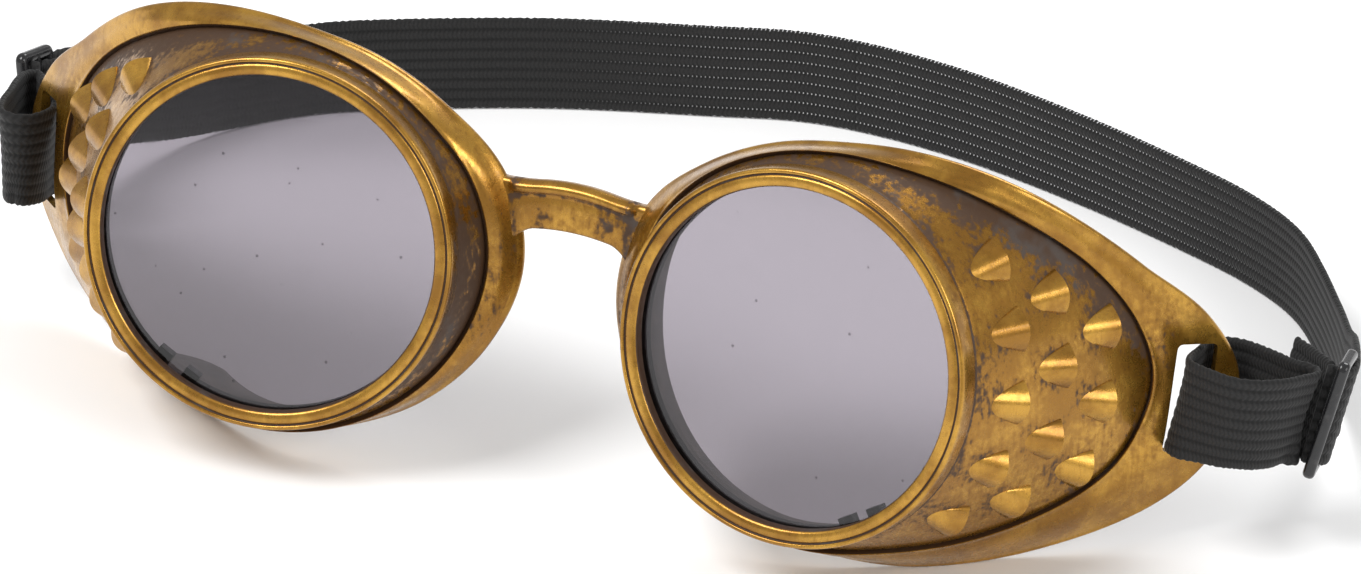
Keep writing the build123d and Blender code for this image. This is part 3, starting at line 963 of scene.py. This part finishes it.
@dataclass
class Strap:
    """The elastic strap: a loop round each slot bar, the free ends at the sliders and the band behind."""

    # the band from the wearer's left slider to the right one: x, y behind the rings' midpoint, height
    band: tuple[tuple[float, float, float], ...] = (
        (102.9, 33.9, 22.2), (104.5, 34.7, 21.7), (105.5, 36.4, 20.9), (104.9, 39.4, 19.9),
        (103.6, 43.3, 19.0), (101.2, 50.0, 16.5), (97.8, 59.0, 12.0), (92.2, 71.5, 8.4), (86.0, 81.5, 7.6),
        (79.5, 89.5, 7.6),
        (71.5, 95.2, 7.6), (60.5, 100.2, 7.6), (39.5, 107.5, 7.6), (17.0, 113.0, 7.6), (-3.0, 114.0, 7.6),
        (-20.0, 109.6, 7.6), (-42.0, 102.6, 7.6), (-65.0, 92.3, 7.6), (-74.0, 86.5, 7.6), (-80.5, 80.0, 7.8),
        (-86.0, 72.0, 9.5), (-91.0, 62.5, 13.0), (-94.2, 54.0, 16.2), (-95.8, 49.4, 17.2),
        (-96.4, 46.5, 18.0), (-95.5, 44.8, 18.8), (-93.9, 44.1, 19.3))
    # which points of the band bound the stretch next to each loop, near end first
    bend_left: tuple[int, int] = (5, 8)
    bend_right: tuple[int, int] = (-6, -9)
    rest: float = 7.6
    lean: float = 0.27
    # upper and lower edge of each loop seen from above the upright goggles, x counted outwards
    left_upper: tuple[tuple[float, float], ...] = (
        (86.4, 34.0), (86.9, 29.0), (88.7, 25.4), (92.3, 23.6), (95.4, 22.9), (98.2, 23.9), (100.8, 26.4),
        (102.6, 29.8), (103.4, 32.8), (101.4, 34.8), (98.2, 36.6), (94.6, 38.3), (91.2, 39.6),
        (88.5, 39.5), (86.2, 37.2))
    left_lower: tuple[tuple[float, float], ...] = (
        (84.3, 34.3), (84.1, 30.9), (86.1, 28.5), (90.6, 27.5), (94.6, 27.5), (97.4, 29.2), (99.0, 32.0),
        (99.6, 35.0), (99.6, 37.3), (98.2, 38.5), (96.0, 38.9), (93.4, 39.4), (91.0, 40.0),
        (88.4, 39.7), (85.8, 37.6))
    right_upper: tuple[tuple[float, float], ...] = (
        (86.3, 33.4), (84.9, 28.0), (85.6, 24.2), (87.4, 22.4), (89.8, 23.0), (91.8, 27.0), (93.2, 32.5),
        (94.6, 38.0), (95.0, 41.8), (93.8, 43.4), (92.4, 42.0), (91.4, 40.2), (90.3, 40.2),
        (88.4, 39.6), (86.2, 37.2))
    right_lower: tuple[tuple[float, float], ...] = (
        (86.3, 34.2), (86.2, 31.0), (86.6, 28.4), (87.8, 27.0), (89.6, 27.6), (91.2, 30.4), (92.4, 35.0),
        (93.6, 40.0), (94.0, 43.2), (93.0, 44.6), (92.0, 43.2), (91.2, 41.4), (90.0, 40.6),
        (88.4, 39.8), (86.2, 37.4))
    upper_height: float = 4.0
    lower_height: float = -11.0
    left_slider: tuple[float, float] = (104.4, 38.4)
    right_slider: tuple[float, float] = (95.2, 48.8)
    up: tuple[float, float, float] = (0.2, 0.0, 0.98)
    heading: tuple[float, float, float] = (-0.19, 0.98, -0.05)
    end_length: float = 8.0
    end_curl: float = 0.02
    end_angle: float = 38.0
    end_start: tuple[float, float] = (-1.5, -1.0)

    def loop(self, side: Side, braid: bpy.types.Material) -> bpy.types.Object:
        """Make the loop round one slot bar."""
        upper = np.array(self.left_upper if side is Side.LEFT else self.right_upper)
        lower = np.array(self.left_lower if side is Side.LEFT else self.right_lower)
        tops, feet = (
            np.column_stack((side.value * edge[:, 0], edge[:, 1], np.full(len(edge), height)))
            for edge, height in ((upper, self.upper_height), (lower, self.lower_height)))
        both = smooth_line(np.hstack(((tops + feet) / 2, tops - feet)), 0.45, True)
        line = goggles_to_row(both[:, :3])
        ups = goggles_to_row(both[:, 3:]) - goggles_to_row(np.zeros(3))
        made = StrapRibbon(f"loop_{side.label}", line, ups, True).build(braid)
        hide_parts(f"strap_loop_{side.label}")
        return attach(made, f"strap_loop_{side.label}")

    def end(self, side: Side, braid: bpy.types.Material) -> bpy.types.Object:
        """Make the free end that leaves one slider."""
        centre = self.left_slider if side is Side.LEFT else self.right_slider
        mirror = np.array((side.value, 1, 1))
        up = np.array(self.up) * mirror
        heading = np.array(self.heading) * mirror
        outwards = np.cross(heading, up) * side.value
        turn = math.radians(self.end_angle)
        origin = np.array((side.value * centre[0], centre[1], Cup.slot_middle))
        begin = origin + outwards * self.end_start[0] + heading * self.end_start[1]
        way = heading * math.cos(turn) - outwards * math.sin(turn)
        steps = np.linspace(0, self.end_length, 5)[:, None]
        marks = begin + way * steps - outwards * self.end_curl * steps ** 2
        line = goggles_to_row(smooth_line(marks, 0.4, False))
        ups = np.broadcast_to(goggles_to_row(up) - goggles_to_row(np.zeros(3)), line.shape)
        made = StrapRibbon(f"end_{side.label}", line, ups).build(braid)
        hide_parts(f"strap_end_{side.label}")
        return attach(made, f"slider_{side.label}")

    def halves(self, braid: bpy.types.Material) -> list[bpy.types.Object]:
        """Make the band's two halves, split at its rearmost point."""
        line = smooth_line(np.array(self.band), 0.5, False)
        raised = np.clip((line[:, 2] - self.rest) / 12.0, 0, 1)
        side = np.clip(line[:, 0] / 60.0, -1, 1)
        ups = np.column_stack((0.2 * side * raised, self.lean * raised, np.ones(len(line))))
        row = table_to_row(line)
        # how far the weave opens along the band, which sets the painted see-through light in its gaps
        stretch = 0.9 * np.exp(-(((line[:, 0] - 20.0) / 45.0) ** 4))
        middle = int(np.argmax(line[:, 1]))
        made = []
        for half, part in ((Side.LEFT, slice(0, middle + 1)), (Side.RIGHT, slice(middle, None))):
            ribbon = StrapRibbon(f"band_{half.label}", row[part], ups[part])
            piece = ribbon.build(braid, stretch[part], 0.0 if half is Side.LEFT else middle * 0.5)
            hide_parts("strap_band")
            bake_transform(piece)
            made.append(piece)
        return made

    def build(self, braid: bpy.types.Material, plastic: bpy.types.Material) -> list[bpy.types.Object]:
        """Make the whole strap of the braid and dress its sliders in the plastic."""
        made = self.halves(braid)
        for side in Side:
            made += [self.loop(side, braid), self.end(side, braid), dress(f"slider_{side.label}", plastic)]
        return made


@dataclass
class Studio:
    """Pale table, soft lights and the camera."""

    camera_place: tuple[float, float, float] = (0.75606, -1.76052, 1.14884)
    camera_aim: tuple[float, float, float] = (0.02212, -0.01648, 0.00234)
    focal: float = 428.56
    sky: float = 0.55
    # name, place, size and power of each light
    lights: tuple[tuple[str, tuple[float, float, float], float, float], ...] = (
        ("key_light", (-0.9, -0.9, 1.9), 1.1, 42.0), ("side_light", (1.8, -0.5, 1.0), 0.9, 16.0),
        ("back_light", (0.3, 1.6, 1.4), 0.9, 16.0))

    def light(self, name: str, place: Sequence[float], size: float, power: float) -> None:
        """Hang a square soft light that faces the goggles."""
        lamp = bpy.data.lights.new(name, "AREA")
        lamp.size = size
        lamp.energy = power
        made = bpy.data.objects.new(name, lamp)
        made.location = place
        made.rotation_euler = (-Vector(place)).to_track_quat("-Z", "Y").to_euler()
        bpy.context.scene.collection.objects.link(made)

    def build(self) -> list[bpy.types.Object]:
        """Lay the table, hang the lights and set up the camera."""
        level = CAD_LOW[2]
        corners = [(x, y, level) for x, y in ((-4, -4), (4, -4), (4, 4), (-4, 4))]
        mesh = bpy.data.meshes.new("table")
        mesh.from_pydata(corners, [], [(0, 1, 2, 3)])
        table = bpy.data.objects.new("table", mesh)
        bpy.context.scene.collection.objects.link(table)
        mesh.materials.append(PaleTable().material())
        table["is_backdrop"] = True
        world = bpy.data.worlds.new("studio")
        bpy.context.scene.world = world
        world.use_nodes = True
        sky = world.node_tree.nodes["Background"]
        sky.inputs["Color"].default_value = (1.0, 1.0, 1.0, 1.0)
        sky.inputs["Strength"].default_value = self.sky
        for light in self.lights:
            self.light(*light)
        lens = bpy.data.cameras.new("camera")
        lens.lens = self.focal
        lens.sensor_width = 36.0
        lens.clip_end = 50.0
        camera = bpy.data.objects.new("camera", lens)
        camera.location = self.camera_place
        aim = Vector(self.camera_aim) - Vector(self.camera_place)
        camera.rotation_euler = aim.to_track_quat("-Z", "Y").to_euler()
        bpy.context.scene.collection.objects.link(camera)
        bpy.context.scene.camera = camera
        bpy.context.scene.view_settings.view_transform = "Standard"
        return [table]


def main() -> None:
    """Build every piece in order and report it."""
    logging.basicConfig(level=logging.INFO, format="%(name)s: %(message)s")
    gold = AntiqueGold().material()
    bare = BarePlastic().material()
    pieces: list[bpy.types.Object] = []
    for side in Side:
        pieces += Cup(side).build(gold, bare)
    pieces += Bridge().build(gold)
    pieces += Glazing().build(SmokedLens().material(), BlackMoulding("retainer_satin", 0.4).material())
    pieces += Strap().build(BraidedElastic().material(), BlackMoulding("slider_gloss", 0.12).material())
    pieces += Studio().build()
    for piece in pieces:
        log.info("%s: %d faces", piece.name, len(piece.data.polygons))


if __name__ == "__main__":
    main()
